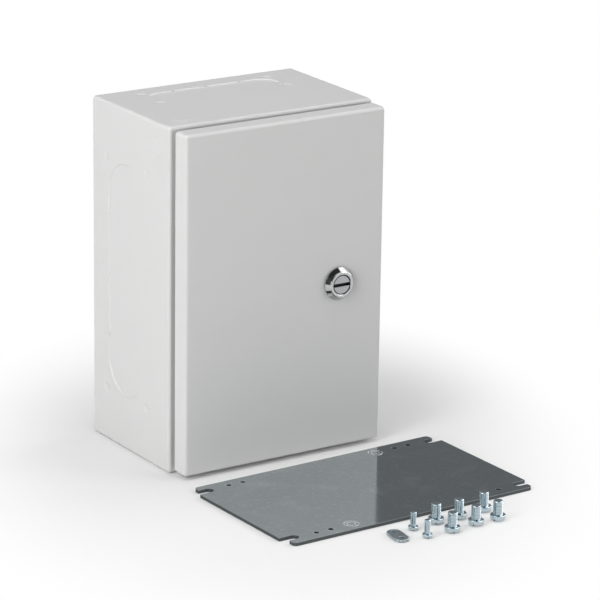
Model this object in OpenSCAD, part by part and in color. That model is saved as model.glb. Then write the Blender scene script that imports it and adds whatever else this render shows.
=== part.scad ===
// Steel wall enclosure: a folded and welded body, a hinged door with a quarter-turn
// lock, and the mounting plate with its fixings laid out in front of it.
// Millimetres. The origin is the centre of the underside, +Z is up and the door faces -Y.

/* [Body] */
// Overall width
width = 200; // [180:5:300]
// Overall height
height = 300; // [260:5:500]
// Overall depth, from the rear panel to the front of the door
depth = 150; // [130:5:250]
// Thickness of the body and door sheet
sheet = 1.2; // [1:0.1:1.5]
// Outside radius of the folded edges
bend_r = 3; // [2.5:0.1:4]
// Width of the front flange, from the side of the body to the rain lip
flange_w = 20; // [19:0.5:24]
// Depth of the rear panel's folded rim
rear_rim = 5; // [4.5:0.5:10]

/* [Fixing to the wall] */
// Diameter of the wall holes
wall_hole_d = 8.5; // [6:0.5:10]
// Distance from the sides of the body to the wall holes
wall_hole_in = 25; // [22:0.5:30]

/* [Cable knock-outs] */
// Width of the side knock-out
side_knock_w = 59; // [40:1:66]
// Length of the side knock-out
side_knock_l = 205; // [120:1:210]
// Distance from the front flange to the middle of the side knock-out
side_knock_in = 70; // [60:1:74]
// Width of the top knock-out
top_knock_w = 31; // [24:1:34]
// Length of the top knock-out
top_knock_l = 126; // [80:1:140]
// Distance from the front flange to the middle of the top knock-out
top_knock_in = 92; // [75:1:93]
// How far a knock-out is pressed in
knock_step = 0.9; // [0.5:0.1:1.2]
// Length of the micro tabs that hold a knock-out
tab_l = 2.6; // [1.5:0.1:4]
// Width of the micro tabs
tab_w = 1; // [0.6:0.1:1.5]
// Diameter of the screw dimples at the corners of a knock-out
dimple_d = 10.5; // [6:0.5:12]
// Depth of the screw dimples
dimple_h = 0.9; // [0.4:0.1:1.2]
// Diameter of the raised weld marks near the front corner
weld_mark_d = 15.5; // [8:0.5:16]
// Height of the raised weld marks
weld_mark_h = 0.7; // [0.2:0.1:1]
// Distance from the front flange to a weld mark
weld_mark_in = 18; // [16:1:20]
// Distance from the outer corner to a weld mark
weld_mark_down = 22; // [18:1:24]

/* [Door] */
// Thickness of the door
door_t = 16.5; // [15.5:0.5:18]
// Gap between the door and the front flange
door_gap = 6.5; // [5.5:0.5:10]
// Distance from the side of the body to the side of the door
door_side = 2.25; // [1:0.25:3]
// Distance from the top of the body to the top of the door
door_top = 2; // [1:0.5:4]
// Distance from the underside of the body to the bottom of the door
door_bottom = 3.5; // [3:0.5:5]
// Width of the foam gasket
gasket_w = 10; // [8:0.5:12]
// Thickness of the foam gasket
gasket_t = 7.8; // [6.5:0.1:8.6]
// Outer corner radius of the foam gasket
gasket_r = 12; // [10.5:0.5:20]
// Clearance between the gasket and the rain lip
seal_gap = 0.3; // [0.2:0.1:0.6]

/* [Hinges] */
// Distance from the top and the bottom of the door to the middle of a hinge
hinge_in = 48; // [40:1:60]
// Length of the hinge knuckle
hinge_l = 24; // [16:1:30]
// Outside diameter of the hinge knuckle
knuckle_d = 8; // [7.5:0.1:8.4]
// Diameter of the hinge pin
pin_d = 4; // [3:0.1:4.5]
// Thickness of the hinge strip and plates
hinge_t = 2; // [1.5:0.1:2.2]
// Distance from the back of the gasket to the hinge strip
hinge_free = 1.4; // [1:0.1:2]

/* [Lock] */
// Distance from the right side of the body to the lock
lock_in = 47; // [45:1:50]
// Diameter of the lock's bezel
bezel_d = 29; // [27:0.5:30]
// Height of the bezel in front of the door
bezel_h = 6; // [4:0.5:8]
// Diameter of the lock's barrel
barrel_d = 22; // [20:0.5:23]
// Diameter of the turning insert
insert_d = 17; // [15:0.2:17.4]
// Width of the slot in the insert
slot_w = 3; // [2:0.1:3.5]
// Length of the cam, from the lock's axis to its tip
cam_l = 36; // [33:1:40]
// Width of the cam
cam_w = 18; // [15:1:20]
// Thickness of the cam
cam_t = 3; // [2:0.5:4]
// Clearance between the cam and the back of the front flange
cam_gap = 1; // [0.5:0.1:2]

/* [Mounting plate] */
// Thickness of the mounting plate
plate_t = 3; // [1.5:0.5:4]
// Distance from the side of the body to the long edge of the plate
plate_side = 26; // [24:0.5:30]
// Distance from the top of the body to the short edge of the plate
plate_end = 26; // [25:0.5:32]
// Distance from the plate's long edge to the middle of a slot
slot_side = 11.5; // [10:0.5:14]
// Distance from the plate's short edge to the screw in a slot
slot_end = 9; // [6:0.5:10]
// How far a slot runs on past its screw
slot_run = 2.5; // [0:0.5:4]
// How far the plate's corners stand back from its short edge
tab_back = 4; // [0:0.5:5]
// Diameter of the small holes in the plate
plate_hole_d = 4.5; // [3:0.5:6]
// Distance from the plate's short edge to the first small hole
plate_hole_end = 32; // [25:1:40]
// Distance between the two small holes of a pair
plate_hole_pitch = 14; // [8:1:20]
// Distance from the plate's long edge to the small holes
plate_hole_side = 10; // [6:0.5:14]
// Distance from the plate's short edge to a stamped ring
ring_end = 67; // [62:1:90]
// Diameter of the stamped rings
ring_d = 13; // [8:1:16]
// Width of the groove of a stamped ring
ring_w = 0.8; // [0.4:0.1:1.2]
// Depth of the groove of a stamped ring
ring_h = 0.2; // [0.1:0.1:0.4]
// Diameter of the bosses that carry the plate
boss_d = 14; // [12:0.5:16]
// Length of the bosses
boss_l = 12; // [8:1:20]

/* [Fixings] */
// Thread diameter of the plate screws
screw_d = 8; // [6:1:8]
// Length of the plate screws under the head
screw_l = 12; // [8:1:20]
// Thread diameter of the small screws
small_d = 5; // [3:1:6]
// Thread diameter of the earth studs
earth_d = 6; // [4:1:6]
// Length of the body's earth stud
earth_l = 16; // [12:1:20]
// Thickness of the nut plate
nut_plate_t = 2.5; // [1.5:0.5:4]
// Length of the nut plate
nut_plate_l = 25; // [22:1:30]
// Width of the nut plate
nut_plate_w = 12.5; // [10:0.5:14]

/* [Lay-out on the floor] */
// Distance from the door to the mounting plate that lies in front of it
lay_gap = 20; // [15:1:40]
// How far the plate lies to the right of the middle
lay_x = 19; // [0:1:40]
// How far the plate is turned
lay_turn = 1.5; // [-3:0.25:3]

/* [Hidden] */

$fn = 48;

// Planes of the body and the door, from the back to the front
y_back = depth / 2;
y_front = -depth / 2;
y_door_back = y_front + door_t;
y_flange = y_door_back + door_gap;
y_rim = y_back - rear_rim;
y_rear_in = y_back - sheet;
y_skin_in = y_front + sheet;
y_gasket = y_skin_in + gasket_t;
y_lip = y_gasket + seal_gap;
z_mid = height / 2;

// Door outline
door_w = width - 2 * door_side;
door_h = height - door_top - door_bottom;
door_z = door_bottom + door_h / 2;

// Rain lip, and the gasket that is centred on it
lip_w = width - 2 * flange_w;
lip_h = height - 2 * flange_w;
lip_r = 8;
gasket_over = (gasket_w - sheet) / 2;

// How far out beyond the long sides of a knock-out its dimples stand
side_dimple_out = 4;
top_dimple_out = 0.5;

// Hinge: the knuckle runs clear of the door's side, and the arm reaches round
// the swing of the door's back corner
hinge_clear = 0.8;
swing_clear = 0.4;
end_clear = 0.3;
running = 0.05;
knuckle_r = knuckle_d / 2;
pin_r = pin_d / 2;
pin_head_t = 1.2;
pin_x = -door_w / 2 + sheet + hinge_clear + knuckle_r;
leg_back = 0.9;
pin_y = y_gasket + hinge_free + hinge_t - leg_back;
swing_r = norm([sheet + hinge_clear + knuckle_r, y_door_back - pin_y]);
hinge_zs = [door_bottom + door_h - hinge_in, door_bottom + hinge_in];

// Lock
lock_x = width / 2 - lock_in;
lock_z = z_mid;
lock_seal_t = 0.6;
lock_nut_t = 4;
barrel_end = 0.3;
y_cam = y_flange + sheet + cam_gap;
y_barrel = y_cam - barrel_end;
cam_tail = 11;
insert_shaft_r = 5;
insert_wall = 6;
cam_square = 8;
cam_screw_d = 5;
cam_screw_l = 9;
cam_head_t = 3;
cam_washer_d = 13;
cam_washer_t = 1;
insert_low = 0.4;
slot_deep = 4;

// Earth studs, clear of the mounting plate and of the mouth's corner
earth_washer_t = 1.2;
earth_nut_t = 0.85 * earth_d;
earth_thread_free = 1.2;
door_earth_l = earth_washer_t + earth_nut_t + earth_thread_free;
body_earth_z = plate_end - 1.05 * earth_d - 1.2;
door_earth_x = width / 4;
door_earth_up = 26;
door_earth_z = flange_w + door_earth_up;

// Mounting plate
plate_w = width - 2 * plate_side;
plate_l = height - 2 * plate_end;
plate_r = 3.5;
plate_slot_w = screw_d + 0.5;
fix_x = plate_w / 2 - slot_side;
fix_z = plate_l / 2 - slot_end;
fix_play = 0.5;
tap = 0.85;
ring_side = 11;
nut_plate_pitch = 14;

// Lay-out in front of the door
lay_y = y_front - lay_gap - plate_w / 2;
floor_y = lay_y - plate_w / 2;
screw_places = [[9, -17.5], [9, -40.5], [31, -18.5], [34.5, -37.5], [58, -15.5], [56, -38]];
small_places = [[-15.5, -20.5], [-15.5, -40.5]];
nut_plate_place = [-36, -28.5];

paint = [0.79, 0.80, 0.79];
zinc = [0.72, 0.75, 0.78];
chrome = [0.62, 0.63, 0.65];
foam = [0.16, 0.16, 0.17];

// Turns a shape drawn from above to stand with its Z axis towards the front
module to_front(x, y, z) {
    translate([x, y, z]) rotate([90, 0, 0]) children();
}

// A quarter of a tube about Z, in the corner that (sx, sy) points to
module quarter_tube(r_out, r_in, l, sx, sy) {
    turn = sx > 0 ? (sy > 0 ? 0 : 270) : (sy > 0 ? 90 : 180);
    rotate([0, 0, turn]) rotate_extrude(angle = 90) translate([r_in, 0]) square([r_out - r_in, l]);
}

// A rectangular ring on z = 0, w by h outside, with walls t thick and corners of radius r
module ring(w, h, t, r, l) {
    for (s = [-1, 1]) {
        translate([s * (w - t) / 2, 0, l / 2]) cube([t, h - 2 * r, l], center = true);
        translate([0, s * (h - t) / 2, l / 2]) cube([w - 2 * r, t, l], center = true);
    }
    for (sx = [-1, 1], sy = [-1, 1]) {
        translate([sx * (w / 2 - r), sy * (h / 2 - r), 0]) quarter_tube(r, r - t, l, sx, sy);
    }
}

// A flat plate on z = 0 with rounded corners
module round_plate(w, h, r, l) {
    translate([0, 0, l / 2]) cube([w - 2 * r, h, l], center = true);
    for (s = [-1, 1]) {
        translate([s * (w - r) / 2, 0, l / 2]) cube([r, h - 2 * r, l], center = true);
    }
    for (sx = [-1, 1], sy = [-1, 1]) {
        translate([sx * (w / 2 - r), sy * (h / 2 - r), 0]) quarter_tube(r, 0, l, sx, sy);
    }
}

// One fold of radius r along X, from a plate on z = 0 up into a wall at the side sy
module fold(l, t, r, sy) {
    translate([-l / 2, 0, r]) rotate([0, 90, 0]) quarter_tube(r, r - t, l, 1, sy);
}

// The rounded corner where two folds meet
module fold_corner(t, r, sx, sy) {
    turn = sx > 0 ? (sy > 0 ? 0 : 270) : (sy > 0 ? 90 : 180);
    translate([0, 0, r]) rotate([0, 0, turn]) rotate_extrude(angle = 90) intersection() {
        difference() {
            circle(r);
            circle(r - t);
        }
        translate([0, -r]) square(r);
    }
}

// A folded pan: a plate on z = 0 and four walls up to z = l
module pan(w, h, l, t, r) {
    translate([0, 0, t / 2]) cube([w - 2 * r, h - 2 * r, t], center = true);
    translate([0, 0, r]) ring(w, h, t, r, l - r);
    for (s = [-1, 1]) {
        translate([0, s * (h / 2 - r), 0]) fold(w - 2 * r, t, r, s);
        translate([s * (w / 2 - r), 0, 0]) rotate([0, 0, 90]) fold(h - 2 * r, t, r, -s);
    }
    for (sx = [-1, 1], sy = [-1, 1]) {
        translate([sx * (w / 2 - r), sy * (h / 2 - r), 0]) fold_corner(t, r, sx, sy);
    }
}

// A flat bar with round ends, centred, l long and w wide
module obround(l, w) {
    square([l - w, w], center = true);
    for (s = [-1, 1]) translate([s * (l - w) / 2, 0]) circle(w / 2);
}

// A place on the outside of a side wall, s -1 for the left and 1 for the right,
// with Z pointing out of the wall and X along the height
module on_side(s, y, z) {
    translate([s * width / 2, y, z]) rotate([0, s * 90, 0]) children();
}

// The same on the top, s 1, or the underside, s -1, with X along the width
module on_end(s, x, y) {
    translate([x, y, z_mid + s * z_mid]) rotate([90 - s * 90, 0, 0]) children();
}

// The shape that a knock-out is pressed to, with round ends and sides that slope at
// 45 degrees, from its floor up to over above z = 0
module pressed(l, w, over) {
    straight = (l - w) / 2;
    half = [[w / 2 - knock_step, -knock_step], [w / 2 + over, over]];
    for (s = [-1, 1]) {
        translate([s * straight, 0, 0]) rotate([0, 0, -s * 90]) rotate_extrude(angle = 180) {
            polygon([[0, -knock_step], half[0], half[1], [0, over]]);
        }
    }
    translate([-straight, 0, 0]) rotate([90, 0, 90]) linear_extrude(2 * straight) {
        polygon([[-half[0][0], -knock_step], half[0], half[1], [-half[1][0], over]]);
    }
}

// The metal that a knock-out takes from the outside of the wall, without its tabs
module knock_pocket(l, w) {
    difference() {
        pressed(l, w, knock_step);
        for (s = [-1, 1], k = [-1, 0, 1]) {
            translate([k * l * 0.26, s * (w - tab_w) / 2, 0]) cube([tab_l, tab_w, 4], center = true);
        }
    }
}

// The same metal, pressed through to the inside
module knock_inside(l, w) {
    translate([0, 0, -sheet]) pressed(l, w, 0);
}

// A pressed dimple, as the bump that it makes on the inside or the hollow on the outside
module dimple(bump) {
    flat = dimple_d / 5;
    z = bump ? -sheet : 0;
    spread = bump ? 0.8 : 1;
    translate([0, 0, z - dimple_h]) cylinder(h = dimple_h, r1 = flat, r2 = spread * dimple_d / 2);
}

// Dimples at the four corners of a knock-out, out beyond its long sides
module dimples(l, w, out, bump) {
    for (x = [-1, 1], y = [-1, 1]) translate([x * (l + 1) / 2, y * (w / 2 + out), 0]) dimple(bump);
}

module weld_mark() {
    cylinder(h = weld_mark_h, r1 = weld_mark_d / 2, r2 = weld_mark_d / 2 - 2);
}

// Calls its child at the knock-out of each wall: the sides, then the top and the underside
module each_side_knock() {
    for (s = [-1, 1]) on_side(s, y_flange + side_knock_in, z_mid) children();
}

module each_end_knock() {
    for (s = [-1, 1]) on_end(s, 0, y_flange + top_knock_in) children();
}

module body_wrapper() {
    color(paint) {
        difference() {
            union() {
                translate([0, y_flange, z_mid]) rotate([-90, 0, 0]) {
                    pan(width, height, y_rim - y_flange, sheet, bend_r);
                }
                each_side_knock() {
                    knock_inside(side_knock_l, side_knock_w);
                    dimples(side_knock_l, side_knock_w, side_dimple_out, true);
                }
                each_end_knock() {
                    knock_inside(top_knock_l, top_knock_w);
                    dimples(top_knock_l, top_knock_w, top_dimple_out, true);
                }
                on_side(-1, y_flange + weld_mark_in, height - weld_mark_down) weld_mark();
                on_end(1, weld_mark_down - width / 2, y_flange + weld_mark_in) weld_mark();
            }
            to_front(0, y_flange + 2 * sheet, z_mid) {
                round_plate(lip_w - 2 * sheet, lip_h - 2 * sheet, lip_r - sheet, 4 * sheet);
            }
            each_side_knock() {
                knock_pocket(side_knock_l, side_knock_w);
                dimples(side_knock_l, side_knock_w, side_dimple_out, false);
            }
            each_end_knock() {
                knock_pocket(top_knock_l, top_knock_w);
                dimples(top_knock_l, top_knock_w, top_dimple_out, false);
            }
        }
        to_front(0, y_flange + sheet, z_mid) ring(lip_w, lip_h, sheet, lip_r, y_flange + sheet - y_lip);
    }
}

module rear_panel() {
    hole_x = width / 2 - wall_hole_in;
    hole_z = height / 2 - wall_hole_in;
    color(paint) difference() {
        to_front(0, y_back, z_mid) pan(width, height, rear_rim, sheet, bend_r);
        for (x = [-1, 1], z = [-1, 1]) {
            to_front(x * hole_x, y_back + 1, z_mid + z * hole_z) cylinder(h = sheet + 2, d = wall_hole_d);
        }
    }
}

module plate_bosses() {
    color(zinc) for (x = [-1, 1], z = [-1, 1]) {
        to_front(x * fix_x, y_rear_in, z_mid + z * fix_z) difference() {
            cylinder(h = boss_l, d = boss_d);
            translate([0, 0, 2]) cylinder(h = boss_l, d = screw_d * tap);
        }
    }
}

// Hexagon nut on z = 0
module nut(d, af, t) {
    difference() {
        cylinder(h = t, d = af / cos(30), $fn = 6);
        translate([0, 0, -1]) cylinder(h = t + 2, d = d + 2 * running);
    }
}

module washer(d, od, t) {
    difference() {
        cylinder(h = t, d = od);
        translate([0, 0, -1]) cylinder(h = t + 2, d = d + 2 * running);
    }
}

// Places on the axis of an earth stud, l away from the sheet that carries it
module body_earth(l) {
    to_front(0, y_rear_in - l, body_earth_z) children();
}

module door_earth(l) {
    translate([-door_earth_x, y_skin_in + l, door_earth_z]) rotate([-90, 0, 0]) children();
}

module body_earth_stud() {
    color(zinc) body_earth(0) cylinder(h = earth_l, d = earth_d);
}

module body_earth_washer() {
    color(zinc) body_earth(0) washer(earth_d, 2.1 * earth_d, earth_washer_t);
}

module body_earth_nut() {
    color(zinc) body_earth(earth_washer_t) nut(earth_d, 1.65 * earth_d, earth_nut_t);
}

module door_panel() {
    color(paint) difference() {
        translate([0, y_front, door_z]) rotate([-90, 0, 0]) pan(door_w, door_h, door_t, sheet, bend_r);
        to_front(lock_x, y_front + sheet + 1, lock_z) cylinder(h = sheet + 2, d = barrel_d + 2 * running);
    }
}

module door_gasket() {
    over = 2 * gasket_over;
    color(foam) to_front(0, y_gasket, z_mid) ring(lip_w + over, lip_h + over, gasket_w, gasket_r, gasket_t);
}

module door_earth_stud() {
    color(zinc) door_earth(0) cylinder(h = door_earth_l, d = earth_d);
}

module door_earth_washer() {
    color(zinc) door_earth(0) washer(earth_d, 2.1 * earth_d, earth_washer_t);
}

module door_earth_nut() {
    color(zinc) door_earth(earth_washer_t) nut(earth_d, 1.65 * earth_d, earth_nut_t);
}

// Cranked strip from the front flange round to the knuckle
module hinge_arm(z) {
    leg_x = swing_r + swing_clear;
    foot_y = y_flange - pin_y;
    color(zinc) translate([pin_x, pin_y, z - hinge_l / 2]) difference() {
        linear_extrude(hinge_l) {
            circle(knuckle_r);
            translate([0, leg_back - hinge_t]) square([leg_x + hinge_t, hinge_t]);
            translate([leg_x, leg_back - hinge_t]) square([hinge_t, foot_y - leg_back + hinge_t]);
            translate([pin_r, foot_y - hinge_t]) square([leg_x + hinge_t - pin_r, hinge_t]);
        }
        translate([0, 0, -1]) cylinder(h = hinge_l + 2, r = pin_r + running);
    }
}

// Plate welded inside the door, with an ear above and an ear below the knuckle
module hinge_bracket(z) {
    ear_z = hinge_l / 2 + end_clear;
    back_y = y_skin_in - pin_y;
    color(zinc) translate([pin_x, pin_y, z]) difference() {
        union() {
            translate([-knuckle_r + 1, back_y, -ear_z - hinge_t]) {
                cube([2 * knuckle_r + 1, hinge_t, 2 * (ear_z + hinge_t)]);
            }
            for (s = [-1, 1]) {
                translate([0, 0, s * (ear_z + hinge_t / 2) - hinge_t / 2]) linear_extrude(hinge_t) {
                    circle(knuckle_r);
                    translate([-knuckle_r + 1, back_y]) square([2 * knuckle_r - 2, -back_y]);
                }
            }
        }
        translate([0, 0, -ear_z - hinge_t - 1]) {
            cylinder(h = 2 * (ear_z + hinge_t + 1), r = pin_r + running);
        }
    }
}

module hinge_pin(z) {
    top_z = hinge_l / 2 + end_clear + hinge_t;
    color(zinc) translate([pin_x, pin_y, z]) {
        translate([0, 0, -top_z - 1]) cylinder(h = 2 * top_z + 1, r = pin_r);
        translate([0, 0, top_z]) cylinder(h = pin_head_t, r = pin_r + 1);
    }
}

// Chromed bezel and threaded barrel, bored for the turning insert
module lock_housing() {
    r = bezel_d / 2;
    back = y_barrel - y_front;
    insert_r = insert_d / 2 + running;
    color(chrome) to_front(lock_x, y_front, lock_z) rotate_extrude() polygon([
        [insert_r, bezel_h - 0.6], [insert_r + 0.6, bezel_h], [r - 3.6, bezel_h], [r - 2.9, bezel_h - 0.5],
        [r, lock_seal_t + 1.4], [r, lock_seal_t], [barrel_d / 2, lock_seal_t], [barrel_d / 2, -back],
        [insert_shaft_r + running, -back], [insert_shaft_r + running, insert_wall - back],
        [insert_r, insert_wall - back]]);
}

module lock_seal() {
    color(foam) to_front(lock_x, y_front, lock_z) washer(barrel_d, bezel_d - 1, lock_seal_t);
}

module lock_nut() {
    color(zinc) to_front(lock_x, y_skin_in + lock_nut_t, lock_z) nut(barrel_d, barrel_d + 4, lock_nut_t);
}

// Slotted insert that turns in the housing, with a square end for the cam
module lock_insert() {
    back = y_barrel - y_front;
    shoulder = insert_wall - back + running;
    tip = -back - barrel_end - cam_t;
    color(chrome) to_front(lock_x, y_front, lock_z) difference() {
        union() {
            translate([0, 0, shoulder]) cylinder(h = bezel_h - insert_low - shoulder, d = insert_d);
            translate([0, 0, -back]) cylinder(h = back + shoulder, r = insert_shaft_r);
            translate([-cam_square / 2, -cam_square / 2, tip]) cube([cam_square, cam_square, -back - tip]);
        }
        translate([-insert_d / 2 - 1, -slot_w / 2, bezel_h - slot_deep]) {
            cube([insert_d + 2, slot_w, slot_deep]);
        }
        translate([0, 0, tip - 1]) cylinder(h = cam_screw_l + 1, r = cam_screw_d / 2);
    }
}

module lock_cam() {
    hole = cam_square + 2 * running;
    color(zinc) to_front(lock_x, y_cam + cam_t, lock_z) difference() {
        linear_extrude(cam_t) {
            circle(cam_tail);
            translate([-cam_w / 2, 0]) square([cam_w, cam_l - cam_w / 2]);
            translate([0, cam_l - cam_w / 2]) circle(cam_w / 2);
        }
        translate([0, 0, cam_t / 2]) cube([hole, hole, cam_t + 2], center = true);
    }
}

module cam_washer() {
    color(zinc) to_front(lock_x, y_cam + cam_t + cam_washer_t, lock_z) {
        washer(cam_screw_d, cam_washer_d, cam_washer_t);
    }
}

module cam_screw() {
    color(zinc) to_front(lock_x, y_cam + cam_t + cam_washer_t, lock_z) {
        translate([0, 0, -cam_head_t]) difference() {
            cylinder(h = cam_head_t, d = 1.7 * cam_screw_d);
            translate([-cam_screw_d, -0.12 * cam_screw_d, -1]) {
                cube([2 * cam_screw_d, 0.24 * cam_screw_d, 2.5]);
            }
        }
        cylinder(h = cam_screw_l, d = cam_screw_d - 2 * running);
    }
}

// A place on the mounting plate, measured in from the corner that (sx, sy) points to
module plate_at(sx, sy, end, side, z) {
    translate([sx * (plate_l / 2 - end), sy * (plate_w / 2 - side), z]) children();
}

// Mounting plate, long side along X, on z = 0
module bare_plate() {
    tongue_w = 2 * fix_x - plate_slot_w;
    open_l = slot_end + slot_run + 1;
    difference() {
        union() {
            round_plate(plate_l - 2 * tab_back, plate_w, plate_r, plate_t);
            translate([-plate_l / 2, -tongue_w / 2, 0]) cube([plate_l, tongue_w, plate_t]);
        }
        for (sx = [-1, 1], sy = [-1, 1]) {
            translate([sx * (fix_z + fix_play - slot_run), sy * fix_x, -1]) {
                cylinder(h = plate_t + 2, d = plate_slot_w);
                translate([sx > 0 ? 0 : -open_l, -plate_slot_w / 2, 0]) {
                    cube([open_l, plate_slot_w, plate_t + 2]);
                }
            }
            for (end = [plate_hole_end, plate_hole_end + plate_hole_pitch]) {
                plate_at(sx, sy, end, plate_hole_side, -1) cylinder(h = plate_t + 2, d = plate_hole_d);
            }
        }
        for (s = [-1, 1]) {
            plate_at(s, s, ring_end, ring_side, plate_t - ring_h) {
                washer(ring_d - 2 * ring_w, ring_d, 1);
            }
        }
    }
}

module mounting_plate() {
    color(zinc) translate([lay_x, lay_y, 0]) rotate([0, 0, lay_turn]) bare_plate();
}

// Cheese-head screw that stands on its slotted head
module screw(d, head_d, head_h, l) {
    difference() {
        cylinder(h = head_h, d = head_d);
        translate([-head_d, -0.11 * d, -1]) cube([2 * head_d, 0.22 * d, 1 + 0.45 * head_h]);
    }
    translate([0, 0, head_h]) cylinder(h = l, d = d);
}

module plate_screws() {
    color(zinc) for (i = [0 : len(screw_places) - 1]) {
        translate([lay_x, floor_y, 0] + screw_places[i]) rotate([0, 0, 74 - 3 * i]) {
            screw(screw_d, 1.625 * screw_d, 0.625 * screw_d, screw_l);
        }
    }
}

module small_screws() {
    color(zinc) for (i = [0 : len(small_places) - 1]) {
        translate([lay_x, floor_y, 0] + small_places[i]) rotate([0, 0, 25 + 30 * i]) {
            screw(small_d, 1.7 * small_d, 0.66 * small_d, screw_l);
        }
    }
}

module nut_plate() {
    color(zinc) translate([lay_x, floor_y, 0] + nut_plate_place) rotate([0, 0, 82]) difference() {
        linear_extrude(nut_plate_t) obround(nut_plate_l, nut_plate_w);
        for (s = [-1, 1]) translate([s * nut_plate_pitch / 2, 0, -1]) {
            cylinder(h = nut_plate_t + 2, d = small_d * tap);
        }
    }
}

body_wrapper();
rear_panel();
plate_bosses();
body_earth_stud();
body_earth_washer();
body_earth_nut();
door_panel();
door_gasket();
door_earth_stud();
door_earth_washer();
door_earth_nut();
hinge_arm(hinge_zs[0]);  // hinge_arm_upper
hinge_arm(hinge_zs[1]);  // hinge_arm_lower
hinge_bracket(hinge_zs[0]);  // hinge_bracket_upper
hinge_bracket(hinge_zs[1]);  // hinge_bracket_lower
hinge_pin(hinge_zs[0]);  // hinge_pin_upper
hinge_pin(hinge_zs[1]);  // hinge_pin_lower
lock_housing();
lock_seal();
lock_nut();
lock_insert();
lock_cam();
cam_washer();
cam_screw();
mounting_plate();
plate_screws();
small_screws();
nut_plate();
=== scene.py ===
"""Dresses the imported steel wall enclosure: paint, plated metal, lock, screws, foam and studio."""

import math

import bmesh
import bpy
from bpy.props import FloatProperty, FloatVectorProperty, IntProperty, PointerProperty
from bpy.types import Operator, Panel, PropertyGroup
from mathutils import Matrix, Vector


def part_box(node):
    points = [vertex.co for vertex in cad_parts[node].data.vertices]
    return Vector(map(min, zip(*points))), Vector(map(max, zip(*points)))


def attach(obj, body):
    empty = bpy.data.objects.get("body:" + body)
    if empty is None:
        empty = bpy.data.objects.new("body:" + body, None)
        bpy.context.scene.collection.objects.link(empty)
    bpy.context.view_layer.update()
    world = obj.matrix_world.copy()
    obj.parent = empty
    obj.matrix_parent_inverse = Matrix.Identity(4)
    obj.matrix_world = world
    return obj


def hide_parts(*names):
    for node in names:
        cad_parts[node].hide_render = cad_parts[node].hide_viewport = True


bl_info = {
    "name": "Steel Wall Enclosure",
    "version": (1, 0, 0),
    "blender": (4, 5, 0),
    "location": "3D View > Sidebar > Enclosure",
    "description": "Finishes, fixings and studio of a small sheet steel wall enclosure",
    "category": "Object",
}

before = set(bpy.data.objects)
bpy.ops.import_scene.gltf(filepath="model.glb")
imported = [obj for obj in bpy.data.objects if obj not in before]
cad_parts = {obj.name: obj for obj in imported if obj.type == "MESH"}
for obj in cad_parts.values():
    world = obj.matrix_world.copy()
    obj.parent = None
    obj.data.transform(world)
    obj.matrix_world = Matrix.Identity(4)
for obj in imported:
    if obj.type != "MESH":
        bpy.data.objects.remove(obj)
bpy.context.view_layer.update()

MM = 0.001
WELD = 1e-6
SHARP = math.radians(28)

PAINTED = ("body_wrapper", "rear_panel", "door_panel")

# Corners of turned shapes and of threads that stay sharp to the eye
TURNED_SHARP = math.radians(40)
THREAD_SHARP = math.radians(35)

# Bright rings on the mounting plate, rubbed round its marks and painted highlight round its holes:
# the place from its middle, the radius and the strength
PLATE_MARKS = [(s * 57 * MM, s * 63 * MM) for s in (-1, 1)]
PLATE_HOLES = [(x * MM, y * MM) for x in (-92, -78, 78, 92) for y in (-64, 64)]
RUBBED_AND_HIGHLIGHT_RINGS = [(x, y, radius * MM, 1.0) for x, y in PLATE_MARKS for radius in (6.1, 3.4)]
# The rings round the holes are painted highlight on the hole edges.
RUBBED_AND_HIGHLIGHT_RINGS += [(x, y, 2.7 * MM, 0.4) for x, y in PLATE_HOLES]

# The floor, and how the oval in which it keeps its shadow is turned, moved and stretched
FLOOR_SIZE = 60
FLOOR_DROP = 0.1 * MM
OVAL_TURN = math.radians(210)
OVAL_SHIFT = (-0.025, 0.043, 0)
OVAL_STRETCH = (1, 0.7, 1)

# The point that all soft boxes face, and for each the setting with its power, its size and place
LIT_POINT = (0.0, -0.05, 0.12)
SOFT_BOXES = (
    ("left_box", "left_lamp", (1.0, 1.0), (-1.7, -0.3, 1.4)),
    ("left_front_box", "left_front_lamp", (1.3, 1.3), (-2.1, -1.0, 1.0)),
    ("low_left_box", "low_left_lamp", (1.2, 0.7), (-1.9, -1.3, 0.45)),
    ("front_box", "front_lamp", (1.3, 1.3), (1.8, -1.6, 1.2)),
    ("right_box", "right_lamp", (1.0, 1.4), (2.2, 0.2, 1.0)),
    ("top_box", "top_lamp", (1.8, 1.8), (-0.1, 0.1, 2.2)),
)

# Cards that only reflections see, one dim, three dark and one bright: the size, the place, the
# point that the card faces and its colour
DARK = (0.03, 0.03, 0.03)
CARDS = (
    ("back_card", (6.0, 4.0), (2.2, 2.8, 1.9), (0.1, -0.2, 0.0), (0.205, 0.21, 0.22)),
    ("over_card", (1.3, 0.8), (-0.2, -0.42, 1.15), (-0.2, -0.42, 0.0), DARK),
    ("side_card", (0.75, 1.5), (-0.9, -0.5, 0.78), (0.0, -0.5, 0.78), DARK),
    ("room_card", (4.4, 3.0), (-1.9, -3.1, 1.2), (0.1, -0.3, 0.0), (0.06, 0.07, 0.08)),
    ("shine_card", (1.0, 0.8), (1.25, -0.14, 1.7), (0.05, -0.08, 0.15), (2.0, 2.0, 2.0)),
)


# Shader maths ------------------------------------------------------------------------------------


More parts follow.
